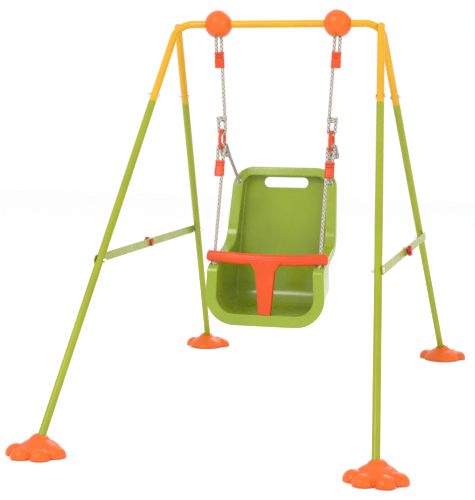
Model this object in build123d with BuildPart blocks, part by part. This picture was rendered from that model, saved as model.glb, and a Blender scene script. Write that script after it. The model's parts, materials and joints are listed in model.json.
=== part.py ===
from build123d import *
import math
import os

# A toddler's garden swing: a bolted steel A-frame with paw-shaped feet, two ropes that hang from eye
# bolts inside plastic balls, a moulded bucket seat and a T-bar that slides up the front ropes.
# Millimetres. X runs along the top bar, -Y is the side the child faces, Z is up, and the origin is on
# the floor under the middle of the bar.

os.makedirs("parts", exist_ok=True)

# ---- frame: driving dimensions -------------------------------------------------------------------
BAR_HEIGHT = 1150.0  # top bar axis above the floor
CORNER_HALF = 314.0  # middle of the bar to the corner where the leg axes meet the bar axis
FOOT_HALF_WIDTH = 442.0  # middle to the leg axis at the floor, along X
FOOT_HALF_DEPTH = 828.0  # middle to the leg axis at the floor, along Y
TUBE_OD = 22.0
TUBE_WALL = 1.2
BEND_RADIUS = 53.0  # centreline radius of the corner bend
STUB_LENGTH = 293.0  # yellow tube measured down the leg from the corner
STUB_START = 10.0  # middle of the stub's rounded upper end, welded to the bend's outside
LOWER_SEAM = 863.0  # joint between the upper and lower green tubes, down the leg
SPIGOT_LENGTH = 50.0  # reduced tube end inside its neighbour
SPIGOT_PLAY = 0.1  # radial play of a spigot in its tube
BOLT_SETBACK = 26.0  # joint bolt axis above the end of the outer tube
LEG_END_HEIGHT = 20.0  # leg tube end above the floor, inside the foot

# ---- fasteners -----------------------------------------------------------------------------------
BOLT_D = 6.0
BOLT_PLAY = 0.1  # radial play of a bolt in its hole
THREAD_PLAY = 0.04  # radial play left between a thread's plain cylinders
HEAD_D = 13.0
HEAD_HEIGHT = 3.6
NUT_ACROSS = 10.0
NUT_HEIGHT = 5.0
NUT_DOME = 4.6

# ---- side braces and their hand knobs --------------------------------------------------------------
BRACE_WIDTH = 25.0
BRACE_THICK = 2.5
BRACE_OVERLAP = 30.0  # each half runs this far past the knob
BRACE_HOLE_D = 10.0
BRACE_HOLE_AT = 140.0  # spare hole, forward of the knob
KNOB_D = 32.0
KNOB_HEIGHT = 11.0
KNOB_LOBES = 5
KNOB_LOBE_R = 6.2
KNOB_BOSS_D = 17.0
KNOB_BOSS_HEIGHT = 3.0
KNOB_GAP = 0.3
CAP_D = 24.0
CAP_HEIGHT = 7.5
STUD_REACH = 11.0  # stud length inside the knob

# ---- balls and hangers -----------------------------------------------------------------------------
BALL_HALF = 184.0  # middle of the bar to each ball
BALL_D = 84.0
BALL_WALL = 3.0
BALL_PLAY = 0.2
BALL_MOUTH_D = 38.0
BALL_SCREW_AT = 26.0
BALL_BOSS_R = 4.5
BALL_SCREW_D = 3.0
CROSSBAR_END = 200.0  # crossbar end, inside the ball
EYE_WIRE_D = 6.0
EYE_SLACK = 1.0  # room between a rope and the inside of the hanger's eye
EYE_SHANK_D = 8.0
EYE_COLLAR_D = 16.0
EYE_COLLAR_HEIGHT = 2.0
EYE_WELD = 0.7  # depth the collar runs into the eye's wire
EYE_NUT_ACROSS = 13.0
EYE_NUT_HEIGHT = 6.5
WASHER_D = 18.0
WASHER_HEIGHT = 1.6

# ---- feet --------------------------------------------------------------------------------------------
HEEL_R = 63.0
HEEL_HEIGHT = 43.0
HEEL_BACK = 8.0  # heel centre, towards the middle of the swing
TOE_R = 28.0
TOE_HEIGHT = 29.0
SIDE_TOE = (55.0, 12.0)  # across and outward from the foot's centre
FRONT_TOE = (26.5, 47.0)
COLLAR_R = 26.0
COLLAR_BACK = 12.0
COLLAR_HEIGHT = 54.0
FOOT_RIM = 7.0  # upright edge around the sole
FOOT_SHIFT = 18.0  # foot's centre inward of the leg axis at the floor

# ---- ropes, rings and adjusters ----------------------------------------------------------------------
ROPE_D = 10.0
ROPE_PLAY = 0.3  # gap between a rope and what it hooks round
RING_HALF = 170.5
RING_HEIGHT = 801.0
RING_R = 28.0  # centreline radius
RING_WIRE_D = 10.0
ADJUSTER_WIDTH = 30.0
ADJUSTER_DEPTH = 18.0
ADJUSTER_LENGTH = 48.0
ADJUSTER_EDGE = 1.2
ADJUSTER_HOLE_PLAY = 0.2
UPPER_ADJUSTER_AT = 74.0  # its middle, below the hanger's lower rim
LOWER_ADJUSTER_AT = 64.0  # its middle, below the ring's lower rim
FRONT_ROPE_LEAN = 17.5  # degrees forward of vertical
FRONT_ROPE_END = 410.0  # knot's middle, from the ring's centre
KNOT_R = 8.8
KNOT_BEHIND = 14.5  # rear knot's middle, behind the rim's face along the rope
LOOP_KNOT = (34.0, 17.0, 17.0)  # across, deep and long
LOOP_TAIL = 34.0  # dead end of a loop beyond the ring's rim, inside its knot

# ---- seat ----------------------------------------------------------------------------------------------
SEAT_TOP = 712.0
SEAT_BOTTOM = 248.0
SEAT_TOP_HALF = 163.0
SEAT_BOTTOM_HALF = 186.0
SEAT_TOP_RADIUS = 64.0
SEAT_BOTTOM_RADIUS = 88.0
SEAT_WALL = 3.0
RIM_WIDTH = 33.0
RIM_DEPTH = 26.0
HANDLE_LENGTH = 140.0
HANDLE_HEIGHT = 31.0
HANDLE_AT = 664.0
TOP_BAND = 0.8  # rim's width across the top, as a share of its side width
LIP_BAND = 1.05  # rim's height across the front lip, as a share of its side width
REAR_ROPE_HOLE = (146.5, 668.0)  # across and up
ROPE_HOLE_D = 14.0
FAR = 400.0  # beyond every part of the seat

# Side view of the rim's face, from the top of the back down and forward to the lip, as (y, z).
RIM_BACK_TOP = (132.0, 712.0)
RIM_BACK_LOW = (84.0, 530.0)
RIM_HOLLOW = (67.0, 491.0)
RIM_ARM_BACK = (30.0, 468.0)
RIM_ARM_FRONT = (-108.0, 432.0)
RIM_NOSE = (-133.0, 422.0)
RIM_FRONT_TOP = (-142.0, 400.0)
RIM_FRONT_LOW = (-142.0, 248.0)
# Side view of the inside of the tub's back, from its top down to where it meets the pan.
TUB_BACK_TOP = (160.0, 712.0)
TUB_BACK_LOW = (104.0, 352.0)
TUB_BACK_BEND = (87.0, 303.0)
TUB_BACK_FOOT = (40.0, 279.0)

# ---- T-bar ---------------------------------------------------------------------------------------------
TBAR_HALF = 185.0
TBAR_AT = 366.2  # beam's middle, from the ring's centre along the front rope
TBAR_HEIGHT = 34.0
TBAR_DEPTH = 28.0
TBAR_HOLE_D = 13.0
POST_SHOULDER_HALF = 52.0
POST_TOP_HALF = 30.0
POST_BOTTOM_HALF = 18.0
POST_DEPTH = 24.0
TBAR_BOW = 18.0  # the beam's middle, forward of its ends
TBAR_CORNER = 12.0
TBAR_DROOP = 20.0  # degrees that the bow dips below level
TBAR_END = 8.0
REST_GAP = 0.3  # gap left between a movable piece and what it rests on

# ---- values that follow ----------------------------------------------------------------------------------
TUBE_R = TUBE_OD / 2
SPIGOT_R = TUBE_R - TUBE_WALL - SPIGOT_PLAY
CORNER = Vector(CORNER_HALF, 0, BAR_HEIGHT)
FRONT_LEG = (Vector(FOOT_HALF_WIDTH, -FOOT_HALF_DEPTH, 0) - CORNER).normalized()
REAR_LEG = (Vector(FOOT_HALF_WIDTH, FOOT_HALF_DEPTH, 0) - CORNER).normalized()
LEG_LENGTH = (Vector(FOOT_HALF_WIDTH, FOOT_HALF_DEPTH, 0) - CORNER).length
SIDE_UP = Vector(CORNER_HALF - FOOT_HALF_WIDTH, 0, BAR_HEIGHT).normalized()
SIDE_OUT = Vector(0, 1, 0).cross(SIDE_UP)  # outward normal of the right-hand A-frame
BRACE_BOLT = LOWER_SEAM - BOLT_SETBACK
STUB_BOLT = STUB_LENGTH - BOLT_SETBACK
FRONT_STRIP = TUBE_R  # inner face of the front brace half, out from the leg axis
REAR_STRIP = TUBE_R + BRACE_THICK
BRACE_FACE = REAR_STRIP + BRACE_THICK
EYE_RING_R = EYE_WIRE_D / 2 + ROPE_D / 2 + EYE_SLACK  # centreline radius of the hanger's eye
EYE_HEIGHT = BAR_HEIGHT - TUBE_R - EYE_COLLAR_HEIGHT - EYE_RING_R - EYE_WIRE_D / 2
ROPE_R = ROPE_D / 2
HANGER_TURN = EYE_WIRE_D / 2 + ROPE_R + ROPE_PLAY
RING_TURN = RING_WIRE_D / 2 + ROPE_R + ROPE_PLAY
RING_CENTRE = Vector(RING_HALF, 0, RING_HEIGHT)
HANGER_RIM = Vector(BALL_HALF, 0, EYE_HEIGHT - EYE_RING_R)
RING_TOP = RING_CENTRE + Vector(0, 0, RING_R)
LEAN = math.radians(FRONT_ROPE_LEAN)
FRONT_DOWN = Vector(0, -math.sin(LEAN), -math.cos(LEAN))
CROWN = 0.498  # share of the shorter run that a bend may take
GENTLE_BEND = 400.0  # bend radius where a taut rope changes direction slightly


def save(part, name):
    """Label a finished piece and write it as parts/<name>.step."""
    part.label = name
    export_step(part, f"parts/{name}.step")


def save_pair(builder, name):
    """Write a right-hand piece and its mirror image."""
    save(builder.part, name + "_right")
    with BuildPart() as other:
        add(builder.part.mirror(Plane.YZ).solids())
    save(other.part, name + "_left")


def leg_plane(direction, distance):
    """Plane square to a right-hand leg, that far down it, with X out of the A-frame."""
    return Plane(origin=CORNER + direction * distance, x_dir=SIDE_OUT, z_dir=direction)


def bolt_plane(direction, distance, out=0.0, facing=1):
    """Plane of a bolt through a right-hand leg, facing out of (1) or into (-1) the A-frame."""
    origin = CORNER + direction * distance + SIDE_OUT * out
    return Plane(origin=origin, x_dir=direction, z_dir=SIDE_OUT * facing)


def drill(plane, diameter):
    """Cut a round hole right through along the plane's normal."""
    with BuildSketch(plane) as hole:
        Circle(diameter / 2)
    extrude(hole.sketch, amount=TUBE_OD, both=True, mode=Mode.SUBTRACT)


# ---- top frame -------------------------------------------------------------------------------------------
BAR_PLANE = Plane(origin=(CROSSBAR_END, 0, BAR_HEIGHT), z_dir=(1, 0, 0))
HANGER_PLANE = Plane(origin=(BALL_HALF, 0, BAR_HEIGHT))

with BuildPart() as bend_core:
    with BuildLine() as bend_line:
        FilletPolyline(
            BAR_PLANE.origin, CORNER, CORNER + REAR_LEG * STUB_LENGTH, radius=BEND_RADIUS
        )
    with BuildSketch(BAR_PLANE):
        Circle(TUBE_R)
    sweep(path=bend_line.wires()[0])

with BuildPart() as corner_right:
    add(bend_core.part)
    with BuildSketch(BAR_PLANE):
        Circle(SPIGOT_R)
    extrude(amount=-SPIGOT_LENGTH)
    with BuildSketch(BAR_PLANE):
        Circle(TUBE_R - TUBE_WALL)
    sweep(path=bend_line.wires()[0], mode=Mode.SUBTRACT)
    with BuildSketch(BAR_PLANE):
        Circle(SPIGOT_R - TUBE_WALL)
    extrude(amount=SPIGOT_LENGTH, both=True, mode=Mode.SUBTRACT)
    with BuildSketch(BAR_PLANE):
        Circle(TUBE_R)
        Circle(SPIGOT_R - TUBE_WALL, mode=Mode.SUBTRACT)
    extrude(amount=TUBE_WALL)
    drill(bolt_plane(REAR_LEG, STUB_BOLT), BOLT_D + 2 * BOLT_PLAY)
    drill(HANGER_PLANE, EYE_SHANK_D + 2 * BOLT_PLAY)
save(corner_right.part, "corner_bend_right")

with BuildPart() as stub_right:
    with BuildSketch(leg_plane(FRONT_LEG, STUB_START)):
        Circle(TUBE_R)
        Circle(TUBE_R - TUBE_WALL, mode=Mode.SUBTRACT)
    extrude(amount=STUB_LENGTH - STUB_START)
    with Locations(CORNER + FRONT_LEG * STUB_START):
        Sphere(TUBE_R)
    add(bend_core.part, mode=Mode.SUBTRACT)
    drill(bolt_plane(FRONT_LEG, STUB_BOLT), BOLT_D + 2 * BOLT_PLAY)
stub_solid = stub_right.part.solids().sort_by(Axis.Z)[0]

with BuildPart() as coped_stub:
    add(stub_solid)
save(coped_stub.part, "welded_stub_right")

# the left corner is the same weldment turned half round, so its bend runs into the front leg
with BuildPart() as corner_left:
    add(corner_right.part, rotation=(0, 0, 180))
save(corner_left.part, "corner_bend_left")

with BuildPart() as stub_left:
    add(stub_solid, rotation=(0, 0, 180))
save(stub_left.part, "welded_stub_left")

with BuildPart() as crossbar:
    with BuildSketch(Plane.YZ.offset(-CROSSBAR_END)):
        with Locations((0, BAR_HEIGHT)):
            Circle(TUBE_R)
            Circle(TUBE_R - TUBE_WALL, mode=Mode.SUBTRACT)
    extrude(amount=2 * CROSSBAR_END)
    drill(HANGER_PLANE, EYE_SHANK_D + 2 * BOLT_PLAY)
    drill(Plane(origin=(-BALL_HALF, 0, BAR_HEIGHT)), EYE_SHANK_D + 2 * BOLT_PLAY)
save(crossbar.part, "crossbar")


# ---- legs ------------------------------------------------------------------------------------------------
def leg_tube(direction, start, end, bolts):
    """Round tube down a leg with a reduced upper end, cross-drilled at each bolt."""
    with BuildPart() as tube:
        with BuildSketch(leg_plane(direction, start)):
            Circle(TUBE_R)
        extrude(amount=end - start)
        with BuildSketch(leg_plane(direction, start)):
            Circle(SPIGOT_R)
        extrude(amount=-SPIGOT_LENGTH)
        with BuildSketch(leg_plane(direction, start)):
            Circle(SPIGOT_R - TUBE_WALL)
        extrude(amount=SPIGOT_LENGTH, both=True, mode=Mode.SUBTRACT)
        with BuildSketch(leg_plane(direction, start + TUBE_WALL)):
            Circle(TUBE_R - TUBE_WALL)
        extrude(amount=end - start, mode=Mode.SUBTRACT)
        for distance in bolts:
            drill(bolt_plane(direction, distance), BOLT_D + 2 * BOLT_PLAY)
    return tube


LEG_STOP = LEG_LENGTH - LEG_END_HEIGHT * LEG_LENGTH / BAR_HEIGHT
for end_name, leg in (("front", FRONT_LEG), ("rear", REAR_LEG)):
    upper = leg_tube(leg, STUB_LENGTH, LOWER_SEAM, (STUB_BOLT, BRACE_BOLT))
    save_pair(upper, f"upper_leg_{end_name}")
    lower = leg_tube(leg, LOWER_SEAM, LEG_STOP, (BRACE_BOLT,))
    save_pair(lower, f"lower_leg_{end_name}")


# ---- feet ------------------------------------------------------------------------------------------------
def dome(across, outward, radius, height, side):
    """Low dome with an upright edge, standing on the floor."""
    rise = height - FOOT_RIM
    ball = (radius**2 + rise**2) / (2 * rise)
    centre = (FOOT_HALF_WIDTH + across, side * (FOOT_HALF_DEPTH - FOOT_SHIFT + outward))
    with BuildSketch(Plane(origin=(*centre, 0), x_dir=(1, 0, 0), z_dir=(0, -1, 0))) as profile:
        with BuildLine():
            Polyline((0, height), (0, 0), (radius, 0), (radius, FOOT_RIM))
            RadiusArc((radius, FOOT_RIM), (0, height), -ball)
        make_face()
    revolve(profile.sketch, axis=Axis((*centre, 0), (0, 0, 1)))


def paw_foot(leg, side):
    """Solid moulded foot: heel, four toes and a collar, bored for the leg tube."""
    with BuildPart() as foot:
        dome(0, -HEEL_BACK, HEEL_R, HEEL_HEIGHT, side)
        for mirror_x in (-1, 1):
            dome(mirror_x * SIDE_TOE[0], SIDE_TOE[1], TOE_R, TOE_HEIGHT, side)
            dome(mirror_x * FRONT_TOE[0], FRONT_TOE[1], TOE_R, TOE_HEIGHT, side)
        dome(0, -COLLAR_BACK, COLLAR_R, COLLAR_HEIGHT, side)
        with BuildSketch(leg_plane(leg, LEG_STOP)):
            Circle(TUBE_R + SPIGOT_PLAY)
        extrude(amount=-2 * COLLAR_HEIGHT, mode=Mode.SUBTRACT)
    return foot


save_pair(paw_foot(FRONT_LEG, -1), "paw_foot_front")
save_pair(paw_foot(REAR_LEG, 1), "paw_foot_rear")


# ---- frame fasteners -----------------------------------------------------------------------------------
def bolt(plane, grip):
    """Round-head bolt: head above the plane, shank below it into the nut."""
    with BuildSketch(plane) as head:
        Circle(HEAD_D / 2)
    extrude(head.sketch, amount=HEAD_HEIGHT, taper=18)
    with BuildSketch(plane) as shank:
        Circle(BOLT_D / 2)
    extrude(shank.sketch, amount=-(grip + NUT_HEIGHT + 1.5))


def acorn_nut(plane):
    """Domed hexagon nut whose flat face lies on the plane."""
    with BuildSketch(plane) as hexagon:
        RegularPolygon(NUT_ACROSS / 2, 6, major_radius=False)
    extrude(hexagon.sketch, amount=-NUT_HEIGHT)
    with BuildSketch(plane.offset(-NUT_HEIGHT)) as crown:
        Circle(NUT_ACROSS / 2 - 0.3)
    extrude(crown.sketch, amount=-NUT_DOME, taper=30)
    with BuildSketch(plane) as thread:
        Circle(BOLT_D / 2 + THREAD_PLAY)
    extrude(thread.sketch, amount=-(NUT_HEIGHT + 2), mode=Mode.SUBTRACT)


def both_sides(builder, name):
    """Write a right-hand group and its mirror image as one group of solids."""
    with BuildPart() as group:
        add(builder.part)
        add(builder.part.mirror(Plane.YZ).solids())
    save(group.part, name)


with BuildPart() as leg_bolts:
    for leg in (FRONT_LEG, REAR_LEG):
        bolt(bolt_plane(leg, STUB_BOLT, -TUBE_R, -1), TUBE_OD)
both_sides(leg_bolts, "leg_joint_bolts")

with BuildPart() as leg_nuts:
    for leg in (FRONT_LEG, REAR_LEG):
        acorn_nut(bolt_plane(leg, STUB_BOLT, TUBE_R, -1))
both_sides(leg_nuts, "leg_joint_nuts")

with BuildPart() as brace_bolts:
    bolt(bolt_plane(FRONT_LEG, BRACE_BOLT, REAR_STRIP), TUBE_R + REAR_STRIP)
    bolt(bolt_plane(REAR_LEG, BRACE_BOLT, BRACE_FACE), TUBE_R + BRACE_FACE)
both_sides(brace_bolts, "brace_bolts")

with BuildPart() as brace_nuts:
    for leg in (FRONT_LEG, REAR_LEG):
        acorn_nut(bolt_plane(leg, BRACE_BOLT, -TUBE_R))
both_sides(brace_nuts, "brace_nuts")

# ---- braces ----------------------------------------------------------------------------------------------
BRACE_HALF = abs(FRONT_LEG.Y) * BRACE_BOLT  # leg bolt to knob, along Y
BRACE_MIDDLE = CORNER - SIDE_UP * math.sqrt(BRACE_BOLT**2 - BRACE_HALF**2)


def brace_plane(out):
    """Plane of the right-hand brace, with X along +Y and its origin on the knob's axis."""
    return Plane(origin=BRACE_MIDDLE + SIDE_OUT * out, x_dir=(0, 1, 0), z_dir=SIDE_OUT)


def strip(side, out):
    """One flat half of a brace, from its leg bolt to just past the knob."""
    with BuildSketch(brace_plane(out)) as flat:
        with Locations((side * (BRACE_HALF - BRACE_OVERLAP) / 2, 0)):
            SlotCenterToCenter(BRACE_HALF + BRACE_OVERLAP, BRACE_WIDTH)
        with Locations((0, 0), (side * BRACE_HALF, 0)):
            Circle(BOLT_D / 2 + BOLT_PLAY, mode=Mode.SUBTRACT)
        if side < 0:
            with Locations((-BRACE_HOLE_AT, 0)):
                Circle(BRACE_HOLE_D / 2, mode=Mode.SUBTRACT)
    extrude(flat.sketch, amount=BRACE_THICK)


with BuildPart() as brace_front:
    strip(-1, FRONT_STRIP)
save_pair(brace_front, "brace_front_half")

with BuildPart() as brace_rear:
    strip(1, REAR_STRIP)
save_pair(brace_rear, "brace_rear_half")

with BuildPart() as brace_spacer:
    with BuildSketch(bolt_plane(REAR_LEG, BRACE_BOLT, FRONT_STRIP)):
        Circle(HEAD_D / 2)
        Circle(BOLT_D / 2 + BOLT_PLAY, mode=Mode.SUBTRACT)
    extrude(amount=BRACE_THICK)
both_sides(brace_spacer, "brace_spacers")

with BuildPart() as brace_cap:
    with BuildSketch(brace_plane(FRONT_STRIP)):
        RegularPolygon(CAP_D / 2, 8)
    extrude(amount=-CAP_HEIGHT)
    fillet(brace_cap.faces().sort_by(Axis(BRACE_MIDDLE, SIDE_OUT))[0].edges(), 2.5)
    with BuildSketch(brace_plane(FRONT_STRIP)):
        Circle(BOLT_D)
    extrude(amount=-CAP_HEIGHT / 2, mode=Mode.SUBTRACT)
save_pair(brace_cap, "brace_stud_cap")

with BuildPart() as brace_stud:
    with BuildSketch(brace_plane(FRONT_STRIP)):
        Circle(BOLT_D - THREAD_PLAY)
    extrude(amount=-CAP_HEIGHT / 2)
    with BuildSketch(brace_plane(FRONT_STRIP)):
        Circle(BOLT_D / 2)
    extrude(amount=2 * BRACE_THICK + KNOB_GAP + STUD_REACH)
both_sides(brace_stud, "brace_studs")

KNOB_PLANE = brace_plane(BRACE_FACE + KNOB_GAP)
with BuildPart() as brace_knob:
    with BuildSketch(KNOB_PLANE.offset(KNOB_BOSS_HEIGHT)):
        Circle(KNOB_D / 2 - KNOB_LOBE_R)
        with PolarLocations(KNOB_D / 2 - KNOB_LOBE_R, KNOB_LOBES, start_angle=90):
            Circle(KNOB_LOBE_R)
    extrude(amount=KNOB_HEIGHT)
    knob_axis = Axis(BRACE_MIDDLE, SIDE_OUT)
    fillet(brace_knob.faces().sort_by(knob_axis)[-1].edges(), 2.0)
    with BuildSketch(KNOB_PLANE):
        Circle(KNOB_BOSS_D / 2)
    extrude(amount=KNOB_BOSS_HEIGHT)
    with BuildSketch(KNOB_PLANE):
        Circle(BOLT_D / 2 + THREAD_PLAY)
    extrude(amount=STUD_REACH + 1, mode=Mode.SUBTRACT)
save_pair(brace_knob, "brace_knob")


# ---- balls and hangers -----------------------------------------------------------------------------------
BALL_CENTRE = (BALL_HALF, 0, BAR_HEIGHT)
BOSS_REACH = math.sqrt((BALL_D / 2 - BALL_WALL) ** 2 - BALL_SCREW_AT**2) - 0.5


def ball_half(side):
    """Half shell of a ball, above (+1) or below (-1) the bar, with its two screw bosses."""
    with BuildPart() as half:
        with Locations(BALL_CENTRE):
            Sphere(BALL_D / 2)
            Sphere(BALL_D / 2 - BALL_WALL, mode=Mode.SUBTRACT)
        split(bisect_by=Plane(origin=BALL_CENTRE), keep=Keep.TOP if side > 0 else Keep.BOTTOM)
        with BuildSketch(Plane(origin=BALL_CENTRE)):
            with Locations((0, BALL_SCREW_AT), (0, -BALL_SCREW_AT)):
                Circle(BALL_BOSS_R)
        extrude(amount=side * BOSS_REACH)
        with BuildSketch(Plane(origin=BALL_CENTRE, x_dir=(0, 1, 0), z_dir=(1, 0, 0))):
            Circle(TUBE_R + BALL_PLAY)
        extrude(amount=BALL_D, both=True, mode=Mode.SUBTRACT)
        with BuildSketch(Plane(origin=BALL_CENTRE)):
            with Locations((0, BALL_SCREW_AT), (0, -BALL_SCREW_AT)):
                Circle(BALL_SCREW_D / 2 + THREAD_PLAY)
        extrude(amount=side * BALL_D / 4, mode=Mode.SUBTRACT)
        if side < 0:
            with BuildSketch(Plane(origin=BALL_CENTRE).offset(-BALL_D / 4)):
                with Locations((0, BALL_SCREW_AT), (0, -BALL_SCREW_AT)):
                    Circle(BALL_SCREW_D + 2 * THREAD_PLAY)
            extrude(amount=-BALL_D / 2, mode=Mode.SUBTRACT)
            with BuildSketch(Plane(origin=BALL_CENTRE).offset(-BALL_D / 4)):
                Circle(BALL_MOUTH_D / 2)
            extrude(amount=-BALL_D / 2, mode=Mode.SUBTRACT)
    return half


save_pair(ball_half(1), "ball_upper_shell")
save_pair(ball_half(-1), "ball_lower_shell")

with BuildPart() as ball_screws:
    with BuildSketch(Plane(origin=BALL_CENTRE).offset(-BALL_D / 4)):
        with Locations((0, BALL_SCREW_AT), (0, -BALL_SCREW_AT)):
            Circle(BALL_SCREW_D / 2)
    extrude(amount=BALL_D / 4 + BALL_D / 6)
    with BuildSketch(Plane(origin=BALL_CENTRE).offset(-BALL_D / 4)):
        with Locations((0, BALL_SCREW_AT), (0, -BALL_SCREW_AT)):
            Circle(BALL_SCREW_D)
    extrude(amount=-2)
both_sides(ball_screws, "ball_screws")

SHANK_TOP = TUBE_R + WASHER_HEIGHT + EYE_NUT_HEIGHT + 2.5  # above the bar axis
with BuildPart() as eyebolt:
    with BuildSketch(Plane(origin=(BALL_HALF, 0, EYE_HEIGHT + EYE_RING_R))):
        Circle(EYE_SHANK_D / 2)
    extrude(amount=BAR_HEIGHT + SHANK_TOP - EYE_HEIGHT - EYE_RING_R)
    with BuildSketch(Plane(origin=(BALL_HALF, 0, BAR_HEIGHT - TUBE_R))):
        Circle(EYE_COLLAR_D / 2)
    extrude(amount=-(EYE_COLLAR_HEIGHT + EYE_WELD))
    with Locations(Location((BALL_HALF, 0, EYE_HEIGHT), (0, 90, 0))):
        Torus(EYE_RING_R, EYE_WIRE_D / 2)
save_pair(eyebolt, "hanger_eyebolt")

with BuildPart() as hanger_nuts:
    with BuildSketch(HANGER_PLANE.offset(TUBE_R)):
        Circle(WASHER_D / 2)
    extrude(amount=WASHER_HEIGHT)
    with BuildSketch(HANGER_PLANE.offset(TUBE_R + WASHER_HEIGHT)):
        RegularPolygon(EYE_NUT_ACROSS / 2, 6, major_radius=False)
    extrude(amount=EYE_NUT_HEIGHT)
    with BuildSketch(HANGER_PLANE.offset(TUBE_R)):
        Circle(EYE_SHANK_D / 2 + THREAD_PLAY)
    extrude(amount=EYE_NUT_HEIGHT + 2 * WASHER_HEIGHT, mode=Mode.SUBTRACT)
both_sides(hanger_nuts, "hanger_nuts")

# ---- rings -----------------------------------------------------------------------------------------------
with BuildPart() as ring:
    with Locations(Location(tuple(RING_CENTRE), (0, 90, 0))):
        Torus(RING_R, RING_WIRE_D / 2)
save_pair(ring, "rope_ring")


# ---- ropes -----------------------------------------------------------------------------------------------
def bend_radii(points):
    """Radius of each bend: half the loop's width round a hook, gentle where two runs nearly line up."""
    radii = []
    for before, corner, after in zip(points, points[1:], points[2:]):
        turn = math.radians((corner - before).get_angle(after - corner))
        shorter = min((corner - before).length, (after - corner).length)
        largest = CROWN * shorter / math.tan(turn / 2)
        gentle = turn < math.radians(45)
        radii.append(min(largest / 4, GENTLE_BEND) if gentle else largest)
    return radii


def rope(points, name):
    """Round rope along straight runs joined by tangent arcs, with its length and bend radii printed."""
    radii = bend_radii(points)
    with BuildPart() as cord:
        with BuildLine() as route:
            FilletPolyline(*points, radius=radii)
        with BuildSketch(Plane(origin=points[0], z_dir=points[1] - points[0])):
            Circle(ROPE_R)
        sweep(path=route.wires()[0])
    length = route.wires()[0].length
    error = cord.part.volume / (math.pi * ROPE_R**2 * length) - 1
    print(name, "length", round(length, 1), "radii", [round(r, 1) for r in radii], "error", round(error, 5))
    save_pair(cord, name)


def rope_frame(origin, up):
    """Plane of a rope's loops: Y up the rope, X across it, towards +X."""
    across = (Vector(1, 0, 0) - up * up.X).normalized()
    return Plane(origin=origin, x_dir=across, z_dir=across.cross(up))


def at(frame, x, y):
    """Point in a rope's plane."""
    return frame.from_local_coords(Vector(x, y, 0))


UPPER = rope_frame(HANGER_RIM, (HANGER_RIM - RING_TOP).normalized())
UPPER_RUN = (HANGER_RIM - RING_TOP).length
upper_points = [
    at(UPPER, HANGER_TURN, -UPPER_ADJUSTER_AT),
    at(UPPER, HANGER_TURN, HANGER_TURN),
    at(UPPER, -HANGER_TURN, HANGER_TURN),
    at(UPPER, -HANGER_TURN, -UPPER_ADJUSTER_AT - ADJUSTER_LENGTH / 2 - 5),
    at(UPPER, -RING_TURN, -UPPER_RUN - RING_TURN),
    at(UPPER, RING_TURN, -UPPER_RUN - RING_TURN),
    at(UPPER, RING_TURN, LOOP_TAIL - UPPER_RUN),
]
rope(upper_points, "rope_upper")

FRONT = rope_frame(RING_CENTRE + FRONT_DOWN * RING_R, FRONT_DOWN * -1)
front_points = [
    at(FRONT, HANGER_TURN, -LOWER_ADJUSTER_AT),
    at(FRONT, HANGER_TURN, -LOWER_ADJUSTER_AT + ADJUSTER_LENGTH / 2 + 3),
    at(FRONT, RING_TURN, -RING_WIRE_D),
    at(FRONT, RING_TURN, RING_TURN),
    at(FRONT, -RING_TURN, RING_TURN),
    at(FRONT, -RING_TURN, -RING_WIRE_D),
    at(FRONT, -HANGER_TURN, -LOWER_ADJUSTER_AT + ADJUSTER_LENGTH / 2 + 3),
    at(FRONT, -HANGER_TURN, RING_R - FRONT_ROPE_END),
]
rope(front_points, "rope_front")

# the rear rope runs from the ring to a hole in the rim beside the seat back
RIM_RAKE = math.atan2(RIM_BACK_TOP[0] - RIM_BACK_LOW[0], RIM_BACK_TOP[1] - RIM_BACK_LOW[1])
REAR_ANCHOR_Y = RIM_BACK_TOP[0] - (RIM_BACK_TOP[1] - REAR_ROPE_HOLE[1]) * math.tan(RIM_RAKE)
REAR_ANCHOR = Vector(REAR_ROPE_HOLE[0], REAR_ANCHOR_Y, REAR_ROPE_HOLE[1])
REAR_AIM = (REAR_ANCHOR - RING_CENTRE).normalized()
REAR_DOWN = Vector(0, REAR_AIM.Y, REAR_AIM.Z).normalized()
REAR = rope_frame(RING_CENTRE + REAR_DOWN * RING_R, REAR_DOWN * -1)
rear_points = [
    at(REAR, RING_TURN, -LOOP_TAIL),
    at(REAR, RING_TURN, RING_TURN),
    at(REAR, -RING_TURN, RING_TURN),
    at(REAR, -RING_TURN, -LOOP_TAIL),
    REAR_ANCHOR + (REAR_ANCHOR - at(REAR, -RING_TURN, -LOOP_TAIL)).normalized() * KNOT_BEHIND,
]
rope(rear_points, "rope_rear")


# ---- rope adjusters --------------------------------------------------------------------------------------
def adjuster(frame, middle, name):
    """Oval slider with two rope holes: a cap, a thin disc and a body, parted by two grooves."""
    top = middle + ADJUSTER_LENGTH / 2
    across = Plane(origin=at(frame, 0, top), x_dir=frame.x_dir, z_dir=frame.y_dir * -1)
    lands = ((0, 7.5), (12.0, 4.0), (20.5, ADJUSTER_LENGTH - 20.5))
    with BuildPart() as slider:
        for begin, thick in lands:
            with BuildSketch(across.offset(begin)):
                SlotOverall(ADJUSTER_WIDTH, ADJUSTER_DEPTH)
            extrude(amount=thick)
        fillet(slider.edges().filter_by(across), ADJUSTER_EDGE)
        with BuildSketch(across.offset(4)):
            SlotOverall(ADJUSTER_WIDTH - 2 * ADJUSTER_EDGE, ADJUSTER_DEPTH - 2 * ADJUSTER_EDGE)
        extrude(amount=ADJUSTER_LENGTH - 10)
        with BuildSketch(across):
            with Locations((-HANGER_TURN, 0)):
                Circle(ROPE_R + ADJUSTER_HOLE_PLAY)
        extrude(amount=ADJUSTER_LENGTH, mode=Mode.SUBTRACT)
        with BuildSketch(across):
            with Locations((HANGER_TURN, 0)):
                Circle(ROPE_R + ADJUSTER_HOLE_PLAY)
        extrude(amount=ADJUSTER_LENGTH / 2, mode=Mode.SUBTRACT)
    save_pair(slider, name)


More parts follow.
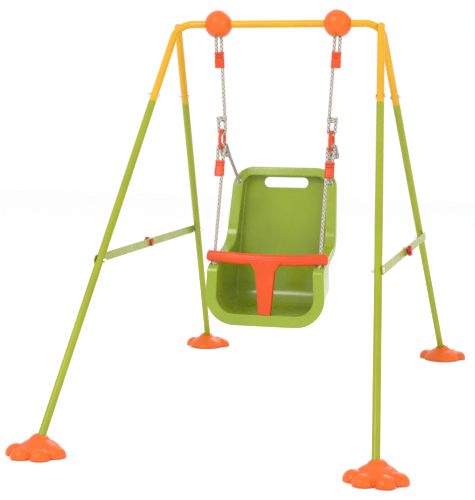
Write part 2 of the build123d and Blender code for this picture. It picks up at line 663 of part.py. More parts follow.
adjuster(UPPER, -UPPER_ADJUSTER_AT, "adjuster_upper")
adjuster(FRONT, -LOWER_ADJUSTER_AT, "adjuster_lower")


# ---- knots -----------------------------------------------------------------------------------------------
def loop_knot(frame, middle):
    """Whipping knot that closes a rope's loop, wrapped round both strands."""
    across = Plane(origin=at(frame, 0, middle - LOOP_KNOT[2] / 2), x_dir=frame.x_dir, z_dir=frame.y_dir)
    with BuildSketch(across) as oval:
        SlotOverall(LOOP_KNOT[0], LOOP_KNOT[1])
    extrude(oval.sketch, amount=LOOP_KNOT[2])


with BuildPart() as upper_knots:
    loop_knot(UPPER, LOOP_TAIL - UPPER_RUN)
save_pair(upper_knots, "loop_knot_upper")

with BuildPart() as rear_knots:
    loop_knot(REAR, -LOOP_TAIL)
save_pair(rear_knots, "loop_knot_rear")

with BuildPart() as seat_knots:
    with Locations(front_points[-1], rear_points[-1]):
        Sphere(KNOT_R)
save_pair(seat_knots, "seat_knots")

# ---- seat ------------------------------------------------------------------------------------------------


def front_outline(inset):
    """Front view of the seat drawn in from its edge: a rounded trapezium."""
    top = SEAT_TOP - inset * TOP_BAND
    low = SEAT_BOTTOM + inset * LIP_BAND
    slope = (SEAT_BOTTOM_HALF - SEAT_TOP_HALF) / (SEAT_TOP - SEAT_BOTTOM)
    top_half = SEAT_TOP_HALF + slope * (SEAT_TOP - top) - inset
    low_half = SEAT_TOP_HALF + slope * (SEAT_TOP - low) - inset
    with BuildSketch(Plane.XZ, mode=Mode.PRIVATE) as outline:
        Polygon((-low_half, low), (low_half, low), (top_half, top), (-top_half, top), align=None)
        fillet(outline.vertices().sort_by(Axis.Y)[2:], SEAT_TOP_RADIUS - inset)
        fillet(outline.vertices().sort_by(Axis.Y)[:2], SEAT_BOTTOM_RADIUS - inset)
    return outline.sketch


def shifted(point, shift):
    """Point moved down and back by the same amount."""
    return (point[0] + shift / math.sqrt(2), point[1] - shift / math.sqrt(2))


def behind_rim(shift):
    """Side region behind the rim's face, that far back into the seat."""
    with BuildSketch(Plane.YZ, mode=Mode.PRIVATE) as region:
        with BuildLine():
            Line(shifted(RIM_BACK_TOP, shift), shifted(RIM_BACK_LOW, shift))
            ThreePointArc(*(shifted(p, shift) for p in (RIM_BACK_LOW, RIM_HOLLOW, RIM_ARM_BACK)))
            Line(shifted(RIM_ARM_BACK, shift), shifted(RIM_ARM_FRONT, shift))
            ThreePointArc(*(shifted(p, shift) for p in (RIM_ARM_FRONT, RIM_NOSE, RIM_FRONT_TOP)))
            Polyline(
                shifted(RIM_FRONT_TOP, shift),
                (shifted(RIM_FRONT_LOW, shift)[0], -FAR),
                (FAR, -FAR),
                (FAR, 2 * FAR),
                (shifted(RIM_BACK_TOP, shift)[0], 2 * FAR),
                shifted(RIM_BACK_TOP, shift),
            )
        make_face()
    return region.sketch


def ahead_of_back(shift):
    """Side region ahead of the tub's back, whose surface lies that far out."""
    with BuildSketch(Plane.YZ, mode=Mode.PRIVATE) as region:
        with BuildLine():
            Line(shifted(TUB_BACK_TOP, shift), shifted(TUB_BACK_LOW, shift))
            ThreePointArc(*(shifted(p, shift) for p in (TUB_BACK_LOW, TUB_BACK_BEND, TUB_BACK_FOOT)))
            Polyline(
                shifted(TUB_BACK_FOOT, shift),
                (-FAR, shifted(TUB_BACK_FOOT, shift)[1] - FAR),
                (-FAR, 2 * FAR),
                (shifted(TUB_BACK_TOP, shift)[0], 2 * FAR),
                shifted(TUB_BACK_TOP, shift),
            )
        make_face()
    return region.sketch


def seat_band(outer, inner, region):
    """Solid between two front outlines, kept where a side region holds it."""
    with BuildPart(mode=Mode.PRIVATE) as band:
        extrude(front_outline(outer), amount=FAR, both=True)
        if inner is not None:
            extrude(front_outline(inner), amount=FAR, both=True, mode=Mode.SUBTRACT)
        extrude(region, amount=FAR, both=True, mode=Mode.INTERSECT)
    return band.part


SKIN = SEAT_WALL * 1.2  # shift that gives the moulded wall
with BuildPart() as seat_shell:
    # rim: face, outer flange, then the tub's sides and pan, and its back
    add(seat_band(0, RIM_WIDTH, behind_rim(0)))
    add(seat_band(0, RIM_WIDTH, behind_rim(SKIN)), mode=Mode.SUBTRACT)
    add(seat_band(0, SEAT_WALL, behind_rim(0)))
    add(seat_band(0, SEAT_WALL, behind_rim(RIM_DEPTH)), mode=Mode.SUBTRACT)
    add(
        seat_band(RIM_WIDTH - SEAT_WALL, RIM_WIDTH, behind_rim(0))
        & seat_band(0, None, ahead_of_back(SKIN))
    )
    add(
        (seat_band(RIM_WIDTH - SEAT_WALL, None, ahead_of_back(SKIN)) & seat_band(0, None, behind_rim(0)))
        - seat_band(0, None, ahead_of_back(0))
    )
    with BuildSketch(Plane.XZ.offset(-FAR)):
        with Locations((0, HANDLE_AT)):
            SlotOverall(HANDLE_LENGTH, HANDLE_HEIGHT)
    extrude(amount=FAR, mode=Mode.SUBTRACT)
    for side in (-1, 1):
        front_knot = Vector(side * front_points[-1].X, front_points[-1].Y, front_points[-1].Z)
        with BuildSketch(Plane(origin=front_knot, z_dir=FRONT_DOWN * -1)):
            Circle(ROPE_HOLE_D / 2)
        extrude(amount=4 * KNOT_R, mode=Mode.SUBTRACT)
        rear_run = rear_points[-2] - rear_points[-1]
        rear_run = Vector(side * rear_run.X, rear_run.Y, rear_run.Z)
        rear_knot = Vector(side * rear_points[-1].X, rear_points[-1].Y, rear_points[-1].Z)
        with BuildSketch(Plane(origin=rear_knot, z_dir=rear_run)):
            Circle(ROPE_HOLE_D / 2)
        extrude(amount=4 * KNOT_R, mode=Mode.SUBTRACT)
save(seat_shell.part, "seat_shell")

# ---- T-bar -----------------------------------------------------------------------------------------------
BEAM_MIDDLE = RING_CENTRE + FRONT_DOWN * TBAR_AT
DROOP = math.radians(TBAR_DROOP)
BOW_PLANE = Plane(
    origin=(0, BEAM_MIDDLE.Y, BEAM_MIDDLE.Z), x_dir=(1, 0, 0), z_dir=(0, -math.sin(DROOP), math.cos(DROOP))
)
ROPE_X = RING_HALF - HANGER_TURN
BOW_AT_ROPE = TBAR_BOW * (1 - (ROPE_X / TBAR_HALF) ** 2)  # keeps the holes in the beam's middle
LIP_TOP = SEAT_BOTTOM + RIM_WIDTH * LIP_BAND
POST_TOP = BEAM_MIDDLE.Z - TBAR_BOW * math.sin(DROOP)
POST_NECK = POST_TOP - 0.9 * TBAR_HEIGHT

with BuildPart() as t_bar:
    with BuildLine(BOW_PLANE) as bow:
        ThreePointArc(
            (-TBAR_HALF, BOW_AT_ROPE), (0, BOW_AT_ROPE - TBAR_BOW), (TBAR_HALF, BOW_AT_ROPE)
        )
    heading = bow.line % 0
    upright = FRONT_DOWN * -1
    upright = (upright - heading * upright.dot(heading)).normalized()
    with BuildSketch(Plane(origin=bow.line @ 0, x_dir=upright, z_dir=heading)):
        RectangleRounded(TBAR_HEIGHT, TBAR_DEPTH, TBAR_CORNER)
    sweep(path=bow.wires()[0])
    ends = t_bar.faces().sort_by(Axis.X)
    fillet(ends[0].edges() + ends[-1].edges(), TBAR_END)
    with BuildSketch(Plane.XZ.offset(-RIM_FRONT_LOW[0])):
        Polygon(
            (-POST_BOTTOM_HALF, LIP_TOP + REST_GAP),
            (POST_BOTTOM_HALF, LIP_TOP + REST_GAP),
            (POST_TOP_HALF, POST_NECK),
            (POST_SHOULDER_HALF, POST_TOP),
            (-POST_SHOULDER_HALF, POST_TOP),
            (-POST_TOP_HALF, POST_NECK),
            align=None,
        )
    extrude(amount=-POST_DEPTH)
    for side in (-1, 1):
        with BuildSketch(Plane(origin=(side * ROPE_X, BEAM_MIDDLE.Y, BEAM_MIDDLE.Z), z_dir=FRONT_DOWN)):
            Circle(TBAR_HOLE_D / 2)
        extrude(amount=TBAR_HEIGHT, both=True, mode=Mode.SUBTRACT)
save(t_bar.part, "t_bar")

for name, builder in (("seat_shell", seat_shell), ("t_bar", t_bar)):
    print(name, "volume", round(builder.part.volume / 1000, 1), "cm3", "centre", builder.part.center())
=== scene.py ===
import json
import math

import bpy
from mathutils import Matrix, Vector


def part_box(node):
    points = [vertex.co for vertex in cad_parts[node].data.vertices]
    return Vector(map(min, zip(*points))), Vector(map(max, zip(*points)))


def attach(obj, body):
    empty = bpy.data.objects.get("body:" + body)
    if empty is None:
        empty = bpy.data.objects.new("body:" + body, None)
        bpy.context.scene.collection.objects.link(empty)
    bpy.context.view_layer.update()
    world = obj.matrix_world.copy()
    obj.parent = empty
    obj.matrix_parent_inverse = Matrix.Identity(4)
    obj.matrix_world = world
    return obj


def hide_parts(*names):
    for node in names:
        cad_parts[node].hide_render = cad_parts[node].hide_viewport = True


# The toddler swing's looks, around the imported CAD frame. Metres; X along the top bar, -Y the way the
# child faces, Z up.

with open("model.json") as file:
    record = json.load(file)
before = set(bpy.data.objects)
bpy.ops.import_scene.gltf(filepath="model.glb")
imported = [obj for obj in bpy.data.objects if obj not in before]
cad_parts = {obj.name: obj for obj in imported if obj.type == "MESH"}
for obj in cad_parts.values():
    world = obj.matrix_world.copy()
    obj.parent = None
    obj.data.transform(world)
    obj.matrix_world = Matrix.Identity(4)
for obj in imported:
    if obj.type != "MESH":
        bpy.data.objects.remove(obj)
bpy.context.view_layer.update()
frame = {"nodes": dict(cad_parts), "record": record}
NODES = frame["nodes"]
SIDES = (("left", -1), ("right", 1))

# ---- camera ------------------------------------------------------------------------------------------
PICTURE_WIDTH = 475
EYE_POINT = Vector((0.8767, -3.8847, 0.8996))
YAW, PITCH, ROLL = (math.radians(a) for a in (14.239, 6.121, 0.479))
FOCAL = 1304.2 / PICTURE_WIDTH  # focal length as a share of the picture's width
SENSOR = 36.0
SHIFT = (-0.0066, -0.0062)

camera_data = bpy.data.cameras.new("camera")
camera_data.sensor_fit = "HORIZONTAL"
camera_data.sensor_width = SENSOR
camera_data.lens = FOCAL * SENSOR
camera_data.shift_x, camera_data.shift_y = SHIFT
camera = bpy.data.objects.new("camera", camera_data)
bpy.context.scene.collection.objects.link(camera)
turn = Matrix.Rotation(YAW, 4, "Z") @ Matrix.Rotation(math.pi / 2 - PITCH, 4, "X")
turn = turn @ Matrix.Rotation(ROLL, 4, "Z")
camera.matrix_world = Matrix.Translation(EYE_POINT) @ turn
bpy.context.scene.camera = camera
bpy.context.scene.view_settings.view_transform = "Standard"

# ---- material kit --------------------------------------------------------------------------------------


DUST = (0.62, 0.57, 0.48)


class Shader:
    """A Principled material whose node tree is built by short calls."""

    def __init__(self, name):
        self.material = bpy.data.materials.new(name)
        self.material.use_nodes = True
        self.tree = self.material.node_tree
        self.base = self.tree.nodes["Principled BSDF"]
        self.place = self.add("ShaderNodeTexCoord").outputs["Object"]

    def add(self, kind, **values):
        """New node, with its constant inputs set by name and its options by attribute."""
        node = self.tree.nodes.new(kind)
        for key, value in values.items():
            if key in node.inputs:
                node.inputs[key].default_value = value
            else:
                setattr(node, key, value)
        return node

    def link(self, source, target):
        self.tree.links.new(source, target)

    def noise(self, scale, detail=3.0, roughness=0.55):
        """Noise field at that many cells per metre."""
        node = self.add("ShaderNodeTexNoise", Scale=scale, Detail=detail, Roughness=roughness)
        self.link(self.place, node.inputs["Vector"])
        return node.outputs["Fac"]

    def remap(self, field, low, high, out_low=0.0, out_high=1.0):
        """Field clamped from one range into another."""
        node = self.tree.nodes.new("ShaderNodeMapRange")
        for index, value in enumerate((low, high, out_low, out_high)):
            node.inputs[index + 1].default_value = value
        self.link(field, node.inputs[0])
        return node.outputs[0]

    def blend(self, field, low, high, mode="MIX"):
        """Colour that goes from low to high with the field; either may be a socket."""
        node = self.tree.nodes.new("ShaderNodeMix")
        node.data_type = "RGBA"
        node.blend_type = mode
        for index, value in ((6, low), (7, high)):
            if isinstance(value, tuple):
                node.inputs[index].default_value = (*value, 1.0)
            else:
                self.link(value, node.inputs[index])
        self.link(field, node.inputs[0])
        return node.outputs[2]

    def bump(self, fields):
        """Stacked bumps of (field, height in metres, strength), the first one deepest."""
        normal = None
        for field, height, strength in fields:
            node = self.add("ShaderNodeBump", Strength=strength, Distance=height)
            self.link(field, node.inputs["Height"])
            if normal is not None:
                self.link(normal, node.inputs["Normal"])
            normal = node.outputs["Normal"]
        self.link(normal, self.base.inputs["Normal"])


def coated(name, colour, shade, gloss, coat=0.1, peel=0.25, specular=0.28):
    """Paint or moulded plastic: uneven tone, scuffs, rubbed patches, fine orange peel and dust."""
    shader = Shader(name)
    tone = shader.remap(shader.noise(7.0, 4.0), 0.3, 0.72)
    base = shader.blend(tone, colour, shade)
    dust = shader.remap(shader.noise(38.0, 6.0, 0.7), 0.58, 0.84, 0.0, 0.1)
    base = shader.blend(dust, base, DUST)
    marks = shader.remap(shader.noise(190.0, 3.0, 0.75), 0.69, 0.8, 0.0, 0.35)
    base = shader.blend(marks, base, tuple(0.55 * c + 0.2 for c in colour))
    shader.link(base, shader.base.inputs["Base Color"])
    rough = shader.remap(shader.noise(24.0, 5.0, 0.65), 0.3, 0.75, gloss, gloss + 0.17)
    shader.link(rough, shader.base.inputs["Roughness"])
    shader.base.inputs["Specular IOR Level"].default_value = specular
    shader.base.inputs["Coat Weight"].default_value = coat
    shader.base.inputs["Coat Roughness"].default_value = 0.12
    shader.bump([(shader.noise(60.0, 2.0), 0.0006, 0.12), (shader.noise(900.0, 2.0), 0.00006, peel)])
    return shader.material


def zinc(name):
    """Zinc-plated steel with stains in it and fine turning marks."""
    shader = Shader(name)
    stain = shader.remap(shader.noise(260.0, 5.0, 0.7), 0.45, 0.75)
    colour = shader.blend(stain, (0.66, 0.67, 0.68), (0.36, 0.34, 0.31))
    shader.link(colour, shader.base.inputs["Base Color"])
    rough = shader.remap(shader.noise(420.0, 3.0), 0.3, 0.7, 0.22, 0.5)
    shader.link(rough, shader.base.inputs["Roughness"])
    shader.base.inputs["Metallic"].default_value = 1.0
    shader.bump([(shader.noise(1500.0, 2.0), 0.00005, 0.3)])
    return shader.material


def cord_cover(name):
    """Braided cord: pale yarn with dark brown flecks, set by the mesh's fleck attribute, and painted shade
    in the grooves between strands, set by its groove attribute.
    """
    shader = Shader(name)
    fleck = shader.add("ShaderNodeAttribute", attribute_name="fleck")
    groove = shader.add("ShaderNodeAttribute", attribute_name="groove")
    soiling = shader.remap(shader.noise(340.0, 4.0), 0.3, 0.7)
    yarn = shader.blend(soiling, (0.72, 0.69, 0.63), (0.50, 0.46, 0.40))
    brown = shader.blend(shader.noise(500.0, 3.0), (0.17, 0.075, 0.035), (0.10, 0.04, 0.02))
    base = shader.blend(fleck.outputs["Fac"], yarn, brown)
    # painted shade: the groove attribute darkens the yarn towards dark brown where the strands dip
    base = shader.blend(groove.outputs["Fac"], base, (0.16, 0.12, 0.09))
    shader.link(base, shader.base.inputs["Base Color"])
    shader.base.inputs["Roughness"].default_value = 0.82
    shader.base.inputs["Sheen Weight"].default_value = 0.25
    shader.bump([(shader.noise(2600.0, 2.0), 0.00012, 0.5)])
    return shader.material


MATERIALS = {
    "yellow_paint": coated("yellow_paint", (0.69, 0.36, 0.003), (0.60, 0.30, 0.002), 0.24),
    "green_paint": coated("green_paint", (0.30, 0.34, 0.006), (0.26, 0.30, 0.005), 0.24),
    "zinc_steel": zinc("zinc_steel"),
    "orange_plastic": coated("orange_plastic", (0.74, 0.125, 0.005), (0.66, 0.10, 0.004), 0.28),
    "red_orange_plastic": coated(
        "red_orange_plastic", (0.70, 0.070, 0.006), (0.60, 0.055, 0.005), 0.3, coat=0.05
    ),
    "red_plastic": coated("red_plastic", (0.52, 0.010, 0.022), (0.44, 0.008, 0.018), 0.25),
    "green_plastic": coated(
        "green_plastic", (0.255, 0.345, 0.004), (0.215, 0.295, 0.003), 0.16, coat=0.3, peel=0.1, specular=0.4
    ),
    "braided_rope": cord_cover("braided_rope"),
}
SLOT_OF = {entry["node"]: entry["material_slot"] for entry in frame["record"]["subparts"]}


def paint(obj, slot):
    """Give a mesh one material."""
    obj.data.materials.clear()
    obj.data.materials.append(MATERIALS[slot])


for node_name, node in NODES.items():
    for place in node.material_slots:
        place.material = MATERIALS[SLOT_OF[node_name]]


# ---- mesh kit ------------------------------------------------------------------------------------------
def add_mesh(name, vertices, faces, slot, body, nodes):
    """New piece that takes a slot's material, rides on a body and stands for CAD nodes."""
    mesh = bpy.data.meshes.new(name)
    mesh.from_pydata([tuple(v) for v in vertices], [], faces)
    mesh.update()
    for polygon in mesh.polygons:
        polygon.use_smooth = True
    obj = bpy.data.objects.new(name, mesh)
    bpy.context.scene.collection.objects.link(obj)
    paint(obj, slot)
    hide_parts(*nodes)
    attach(obj, body)
    return obj


CROWN = 0.498  # share of the shorter run that a bend may take
GENTLE_BEND = 0.4  # bend radius where a taut rope changes direction slightly
GENTLE_ANGLE = math.radians(45)
ROUTE_STEP = 0.0012


def rounded_route(points):
    """Points along straight runs joined by tangent arcs, no further apart than the step."""
    route = [points[0]]
    for before, corner, after in zip(points, points[1:], points[2:]):
        into, out = (corner - before).normalized(), (after - corner).normalized()
        bend = into.angle(out)
        shorter = min((corner - before).length, (after - corner).length)
        radius = CROWN * shorter / math.tan(bend / 2)
        if bend < GENTLE_ANGLE:
            radius = min(radius / 4, GENTLE_BEND)
        cut = radius * math.tan(bend / 2)
        start = corner - into * cut
        side = (out - into * into.dot(out)).normalized()
        count = max(3, int(radius * bend / ROUTE_STEP) + 1)
        for i in range(count + 1):
            angle = bend * i / count
            route.append(start + into * radius * math.sin(angle) + side * radius * (1 - math.cos(angle)))
    route.append(points[-1])
    even = [route[0]]
    for a, b in zip(route, route[1:]):
        count = max(1, math.ceil((b - a).length / ROUTE_STEP))
        even += [a.lerp(b, i / count) for i in range(1, count + 1)]
    return even


def tube(route, radius, around=24, relief=None):
    """Vertices and faces of a capped tube; relief(angle, run) gives (radius change, fleck, groove)."""
    vertices, faces, marks = [], [], []
    forward = (route[1] - route[0]).normalized()
    side = forward.orthogonal().normalized()
    run = 0.0
    for i, point in enumerate(route):
        ahead = route[min(i + 1, len(route) - 1)]
        behind = route[max(i - 1, 0)]
        forward = (ahead - behind).normalized()
        side = (side - forward * side.dot(forward)).normalized()
        other = forward.cross(side)
        run += (point - behind).length if i else 0.0
        for k in range(around):
            angle = 2 * math.pi * k / around
            change, fleck, groove = relief(angle, run) if relief else (0.0, 0.0, 0.0)
            reach = radius + change
            vertices.append(point + side * reach * math.cos(angle) + other * reach * math.sin(angle))
            marks.append((fleck, groove))
    for i in range(len(route) - 1):
        for k in range(around):
            a, b = i * around + k, i * around + (k + 1) % around
            faces.append((a, b, b + around, a + around))
    faces.append(tuple(reversed(range(around))))
    faces.append(tuple(range((len(route) - 1) * around, len(route) * around)))
    return vertices, faces, marks


def set_marks(obj, marks):
    """Store the fleck and groove values of a cord's vertices; the groove value is painted shade."""
    for index, name in enumerate(("fleck", "groove")):
        layer = obj.data.attributes.new(name, "FLOAT", "POINT")
        layer.data.foreach_set("value", [mark[index] for mark in marks])


# ---- ropes ---------------------------------------------------------------------------------------------
ROPE_R = 0.005
STRANDS = 8  # strands each way round the braid
BRAID_PITCH = 0.034  # length in which one strand goes once round
BRAID_RELIEF = 0.0005
COVER_GAP = 0.0001  # braid's mean surface, inside the CAD rope's
FIBRE_AROUND = 32
# one strand in three is a dark fleck; the rear ropes darken one in two, the extra dark strands being painted
# shade
DARK_EVERY, REAR_SHADE_DARK_EVERY = 3, 2  # one strand in this many is dark


def braid(angle, run, dark_every):
    """Braided surface: strands that cross over and under, some of them dark, with painted shade in the
    grooves between them.
    """
    turns = angle / (2 * math.pi)
    left = STRANDS * (turns + run / BRAID_PITCH)
    right = STRANDS * (turns - run / BRAID_PITCH)
    over = (math.floor(left) + math.floor(right)) % 2 == 0
    strand, across = (left, right) if over else (right, left)
    swell = math.sin(math.pi * (strand % 1.0)) * (0.55 + 0.45 * math.sin(math.pi * (across % 1.0)))
    fleck = 1.0 if math.floor(strand) % dark_every == 0 else 0.0
    # painted shade, deepest between the strands where their surface dips
    groove = max(0.0, 0.62 - swell)
    return BRAID_RELIEF * (swell - 0.75), fleck, groove


EYE_WIRE_R = 0.003
eye_low, eye_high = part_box("hanger_eyebolt_right")
ring_low, ring_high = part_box("rope_ring_right")
RING = (Vector(ring_low) + Vector(ring_high)) / 2  # centre
RING_WIRE_R = (ring_high[0] - ring_low[0]) / 2
RING_R = (ring_high[2] - ring_low[2]) / 2 - RING_WIRE_R
HANGER_RIM = Vector(((eye_low[0] + eye_high[0]) / 2, 0, eye_low[2] + EYE_WIRE_R))
HANGER_TURN = 0.0083
RING_TURN = 0.0103
LEAN = math.radians(17.5)
FRONT_DOWN = Vector((0, -math.sin(LEAN), -math.cos(LEAN)))
UPPER_ADJUSTER_AT, LOWER_ADJUSTER_AT = 0.074, 0.064
ADJUSTER_LENGTH, ADJUSTER_WIDTH, ADJUSTER_DEPTH, ADJUSTER_EDGE = 0.048, 0.030, 0.018, 0.0012
LOOP_TAIL = 0.034
FRONT_ROPE_END = 0.410
KNOT_BEHIND = 0.0145
REAR_ANCHOR = Vector((0.1465, 0.132 - 0.044 * 48 / 182, 0.668))


class RopeFrame:
    """Plane of a rope's loops: Y up the rope and X across it, towards +X."""

    def __init__(self, origin, up):
        self.origin, self.up = origin, up.normalized()
        self.across = (Vector((1, 0, 0)) - self.up * self.up.x).normalized()

    def at(self, x, y):
        return self.origin + self.across * x + self.up * y


ring_top = RING + Vector((0, 0, RING_R))
UPPER = RopeFrame(HANGER_RIM, HANGER_RIM - ring_top)
UPPER_RUN = (HANGER_RIM - ring_top).length
FRONT = RopeFrame(RING + FRONT_DOWN * RING_R, -FRONT_DOWN)
rear_aim = REAR_ANCHOR - RING
REAR_DOWN = Vector((0, rear_aim.y, rear_aim.z)).normalized()
REAR = RopeFrame(RING + REAR_DOWN * RING_R, -REAR_DOWN)
CLAMP_EDGE = -LOWER_ADJUSTER_AT + ADJUSTER_LENGTH / 2 + 0.003

UPPER_POINTS = [
    UPPER.at(HANGER_TURN, -UPPER_ADJUSTER_AT),
    UPPER.at(HANGER_TURN, HANGER_TURN),
    UPPER.at(-HANGER_TURN, HANGER_TURN),
    UPPER.at(-HANGER_TURN, -UPPER_ADJUSTER_AT - ADJUSTER_LENGTH / 2 - 0.005),
    UPPER.at(-RING_TURN, -UPPER_RUN - RING_TURN),
    UPPER.at(RING_TURN, -UPPER_RUN - RING_TURN),
    UPPER.at(RING_TURN, LOOP_TAIL - UPPER_RUN),
]
FRONT_POINTS = [
    FRONT.at(HANGER_TURN, -LOWER_ADJUSTER_AT),
    FRONT.at(HANGER_TURN, CLAMP_EDGE),
    FRONT.at(RING_TURN, -2 * RING_WIRE_R),
    FRONT.at(RING_TURN, RING_TURN),
    FRONT.at(-RING_TURN, RING_TURN),
    FRONT.at(-RING_TURN, -2 * RING_WIRE_R),
    FRONT.at(-HANGER_TURN, CLAMP_EDGE),
    FRONT.at(-HANGER_TURN, RING_R - FRONT_ROPE_END),
]
REAR_POINTS = [
    REAR.at(RING_TURN, -LOOP_TAIL),
    REAR.at(RING_TURN, RING_TURN),
    REAR.at(-RING_TURN, RING_TURN),
    REAR.at(-RING_TURN, -LOOP_TAIL),
]
REAR_POINTS.append(REAR_ANCHOR + (REAR_ANCHOR - REAR_POINTS[-1]).normalized() * KNOT_BEHIND)


def mirrored(points, side):
    """Points for the right (+1) or left (-1) side."""
    return [Vector((side * p.x, p.y, p.z)) for p in points]


def rope(kind, points, side_name, side, body):
    """Braided rope along a route."""
    route = rounded_route(mirrored(points, side))
    # rear ropes: more dark strands, as painted shade
    dark_every = REAR_SHADE_DARK_EVERY if kind == "rear" else DARK_EVERY
    vertices, faces, marks = tube(
        route, ROPE_R - COVER_GAP, FIBRE_AROUND, relief=lambda angle, run: braid(angle, run, dark_every)
    )
    piece = add_mesh(
        f"braid_{kind}_{side_name}", vertices, faces, "braided_rope", body, [f"rope_{kind}_{side_name}"]
    )
    set_marks(piece, marks)


for side_name, side in SIDES:
    rope("upper", UPPER_POINTS, side_name, side, "swing_ropes")
    rope("front", FRONT_POINTS, side_name, side, "seat")
    rope("rear", REAR_POINTS, side_name, side, "seat")


# ---- knots ---------------------------------------------------------------------------------------------
WHIPPING_HALF_WIDTH, WHIPPING_HALF_DEPTH = 0.0142, 0.0059
WHIPPING_LENGTH = 0.0125
WHIPPING_WRAPS, WHIPPING_STEPS = 5, 40
WHIPPING_BULGE = 1.08  # depth of the turns, over the strands
WHIPPING_FLAT = 1.6  # how soon a turn leaves its straight run
WHIPPING_CORD_R = 0.0021
KNOT_AROUND = 12
FLECK_RUN, FLECK_EVERY, WHIPPING_GROOVE_SHADE = 36, 3, 0.25  # dark flecks, in vertices along the cord


def whipping(name, centre, across, up, body, node):
    """Cord wound in close oval turns round both strands of a loop."""
    deep = across.cross(up)
    straight = WHIPPING_HALF_WIDTH - WHIPPING_HALF_DEPTH
    count = WHIPPING_WRAPS * WHIPPING_STEPS
    turns = []
    for i in range(count + 1):
        angle = 2 * math.pi * i / WHIPPING_STEPS
        rise = (i / count - 0.5) * WHIPPING_LENGTH
        x = straight * max(-1.0, min(1.0, WHIPPING_FLAT * math.cos(angle)))
        x += WHIPPING_HALF_DEPTH * math.cos(angle)
        y = WHIPPING_HALF_DEPTH * math.sin(angle)
        turns.append(centre + across * x + deep * y * WHIPPING_BULGE + up * rise)
    vertices, faces, marks = tube(turns, WHIPPING_CORD_R, around=KNOT_AROUND)
    # every turn also takes an even groove value: painted shade laid over the whole whipping
    marks = [(1.0 if (i // FLECK_RUN) % FLECK_EVERY == 0 else 0.0, WHIPPING_GROOVE_SHADE) for i in range(len(marks))]
    piece = add_mesh(name, vertices, faces, "braided_rope", body, [node])
    set_marks(piece, marks)


STOPPER_STEPS, STOPPER_LAPS = 46, 3
STOPPER_R, STOPPER_SWAY, STOPPER_RISE = 0.0047, 0.0014, 0.0042
STOPPER_CORD_R = 0.0027


def stopper(name, centres, axes, body, node):
    """Round stopper knots: cord lapped over itself in crossing turns."""
    vertices, faces, marks = [], [], []
    for centre, axis in zip(centres, axes):
        side = axis.orthogonal().normalized()
        other = axis.cross(side)
        lap = []
        count = STOPPER_STEPS * STOPPER_LAPS
        for i in range(count):
            t = 2 * math.pi * i / count
            wide = STOPPER_R + STOPPER_SWAY * math.cos(STOPPER_LAPS * t)
            lap.append(
                centre
                + side * wide * math.cos((STOPPER_LAPS - 1) * t)
                + other * wide * math.sin((STOPPER_LAPS - 1) * t)
                + axis * STOPPER_RISE * math.sin(STOPPER_LAPS * t)
            )
        lap.append(lap[0])
        more_vertices, more_faces, more_marks = tube(lap, STOPPER_CORD_R, around=KNOT_AROUND)
        faces += [tuple(v + len(vertices) for v in face) for face in more_faces]
        vertices += more_vertices
        marks += more_marks
    piece = add_mesh(name, vertices, faces, "braided_rope", body, [node])
    set_marks(piece, marks)


for side_name, side in SIDES:
    for kind, ropes, middle, body in (
        ("upper", UPPER, LOOP_TAIL - UPPER_RUN, "swing_ropes"),
        ("rear", REAR, -LOOP_TAIL, "seat"),
    ):
        centre, across, up = (
            Vector((side * v.x, v.y, v.z)) for v in (ropes.at(0, middle), ropes.across, ropes.up)
        )
        whipping(f"whipping_{kind}_{side_name}", centre, across, up, body, f"loop_knot_{kind}_{side_name}")
    ends = mirrored([FRONT_POINTS[-1], REAR_POINTS[-1]], side)
    before = mirrored([FRONT_POINTS[-2], REAR_POINTS[-2]], side)
    aims = [(end - start).normalized() for start, end in zip(before, ends)]
    stopper(f"stopper_knots_{side_name}", ends, aims, "seat", f"seat_knots_{side_name}")


NECK_HOLLOW = 0.24  # share of a neck's half depth that is taken off each face
NECK_TOLERANCE = 0.0003  # how near a vertex lies to the neck's outline

# ---- moulded pieces --------------------------------------------------------------------------------------
def soften(node_name, body, voxel, passes):
    """Moulded copy of a CAD node, with every edge rounded over and every joint blended."""
    slot = SLOT_OF[node_name]
    obj = bpy.data.objects.new(f"moulded_{node_name}", NODES[node_name].data.copy())
    bpy.context.scene.collection.objects.link(obj)
    remesh = obj.modifiers.new("remesh", "REMESH")
    remesh.mode = "VOXEL"
    remesh.voxel_size = voxel
    remesh.use_smooth_shade = True
    smooth = obj.modifiers.new("smooth", "SMOOTH")
    smooth.factor = 0.5
    smooth.iterations = passes
    depsgraph = bpy.context.evaluated_depsgraph_get()
    mesh = bpy.data.meshes.new_from_object(obj.evaluated_get(depsgraph))
    obj.modifiers.clear()
    obj.data = mesh
    paint(obj, slot)
    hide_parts(node_name)
    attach(obj, body)
    return obj


FOOT_VOXEL, FOOT_PASSES = 0.0025, 8
TBAR_VOXEL, TBAR_PASSES = 0.0016, 8
SEAT_VOXEL, SEAT_PASSES = 0.0016, 9
for end_name in ("front", "rear"):
    for side_name, _ in SIDES:
        soften(f"paw_foot_{end_name}_{side_name}", "frame", FOOT_VOXEL, FOOT_PASSES)
soften("t_bar", "t_bar", TBAR_VOXEL, TBAR_PASSES)


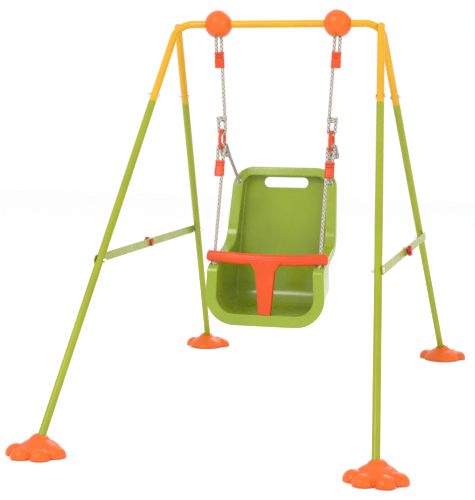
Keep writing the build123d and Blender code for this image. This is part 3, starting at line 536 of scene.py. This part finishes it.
def groove(node_name, ropes, body):
    """Copy of an adjuster with its necks hollowed front and back, so that its lands stand out."""
    slot = SLOT_OF[node_name]
    mesh = NODES[node_name].data.copy()
    to_world = NODES[node_name].matrix_world
    to_mesh = to_world.inverted()
    deep = ropes.across.cross(ropes.up)
    neck = ADJUSTER_DEPTH / 2 - ADJUSTER_EDGE
    for vertex in mesh.vertices:
        place = to_world @ vertex.co
        mirrored_place = Vector((abs(place.x), place.y, place.z)) - ropes.origin
        along, out = mirrored_place.dot(ropes.across), mirrored_place.dot(deep)
        straight = (ADJUSTER_WIDTH - ADJUSTER_DEPTH) / 2
        reach = math.hypot(max(0.0, abs(along) - straight), out)
        if abs(reach - neck) < NECK_TOLERANCE:
            vertex.co = to_mesh @ (place - deep * out * NECK_HOLLOW)
    obj = bpy.data.objects.new(f"grooved_{node_name}", mesh)
    bpy.context.scene.collection.objects.link(obj)
    obj.matrix_world = to_world
    paint(obj, slot)
    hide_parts(node_name)
    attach(obj, body)


for side_name, _ in SIDES:
    groove(f"adjuster_upper_{side_name}", UPPER, "swing_ropes")
    groove(f"adjuster_lower_{side_name}", FRONT, "seat")
soften("seat_shell", "seat", SEAT_VOXEL, SEAT_PASSES)

# ---- stage and light -------------------------------------------------------------------------------------
FLOOR_HALF = 9.0
FLOOR_GAP = 0.0005
floor_mesh = bpy.data.meshes.new("floor")
floor_corners = [(x * FLOOR_HALF, y * FLOOR_HALF, 0) for x, y in ((-1, -1), (1, -1), (1, 1), (-1, 1))]
floor_mesh.from_pydata(floor_corners, [], [(0, 1, 2, 3)])
floor = bpy.data.objects.new("floor", floor_mesh)
floor.location.z = -FLOOR_GAP
bpy.context.scene.collection.objects.link(floor)
floor_shader = Shader("floor")
floor_shader.base.inputs["Base Color"].default_value = (0.97, 0.97, 0.97, 1.0)
floor_shader.base.inputs["Roughness"].default_value = 0.7
floor_mesh.materials.append(floor_shader.material)

world = bpy.data.worlds.new("world")
world.use_nodes = True
world.node_tree.nodes["Background"].inputs["Color"].default_value = (1.0, 1.0, 1.0, 1.0)
world.node_tree.nodes["Background"].inputs["Strength"].default_value = 1.0
bpy.context.scene.world = world


def area_light(name, place, aim, size, power):
    """Soft square light that points at a place."""
    data = bpy.data.lights.new(name, "AREA")
    data.size = size
    data.energy = power
    light = bpy.data.objects.new(name, data)
    bpy.context.scene.collection.objects.link(light)
    light.location = place
    light.rotation_euler = (Vector(aim) - Vector(place)).to_track_quat("-Z", "Y").to_euler()


area_light("key", (-1.6, -3.2, 3.4), (0, 0, 0.6), 1.6, 70)
area_light("fill", (3.2, -2.6, 1.8), (0, 0, 0.6), 2.4, 35)
area_light("rim", (0.6, 3.4, 3.0), (0, 0, 0.8), 2.0, 60)
